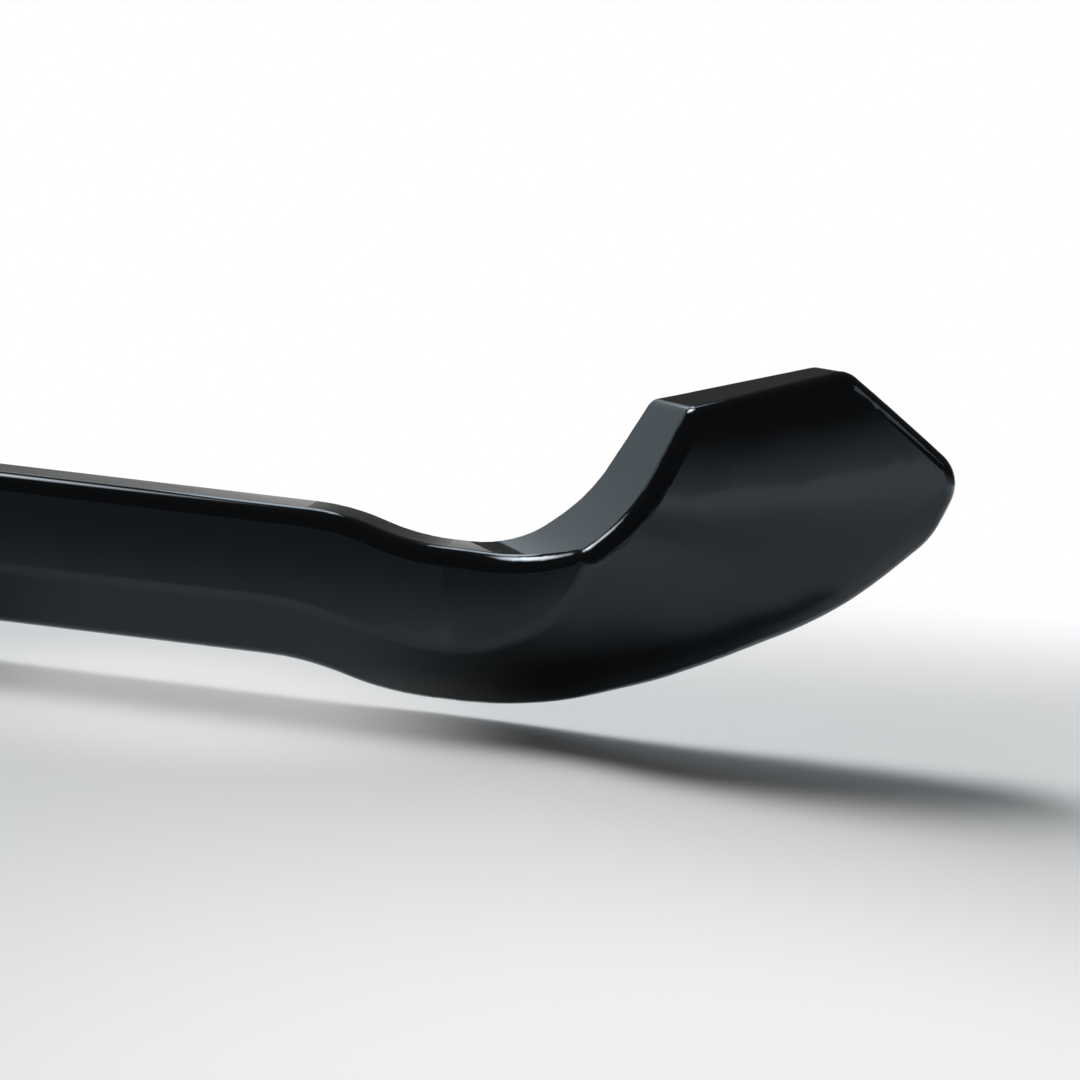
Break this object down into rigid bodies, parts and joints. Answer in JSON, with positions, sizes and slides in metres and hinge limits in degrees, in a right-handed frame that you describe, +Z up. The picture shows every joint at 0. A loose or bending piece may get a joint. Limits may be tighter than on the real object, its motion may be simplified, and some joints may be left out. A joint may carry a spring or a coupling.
{
  "type": "brake lever guard",
  "caption": "Moulded brake lever guard: a chamfered arm with a bar-end eye dips and bends into a broad crowned paddle that shields the lever's tip.",
  "frame": {"origin": "centre of the bar-end bore, on the face that seats against the end of the bar", "axes": "+X runs forward along the arm to the paddle, +Y points inwards to the lever and the bar, +Z is up"},
  "size_m": [0.1761, 0.0264, 0.0509],
  "materials": {
    "moulding": "smooth moulded black, semi-gloss"
  },
  "bodies": {
    "root": {"lever_guard": "moulding"}
  },
  "joints": []
}
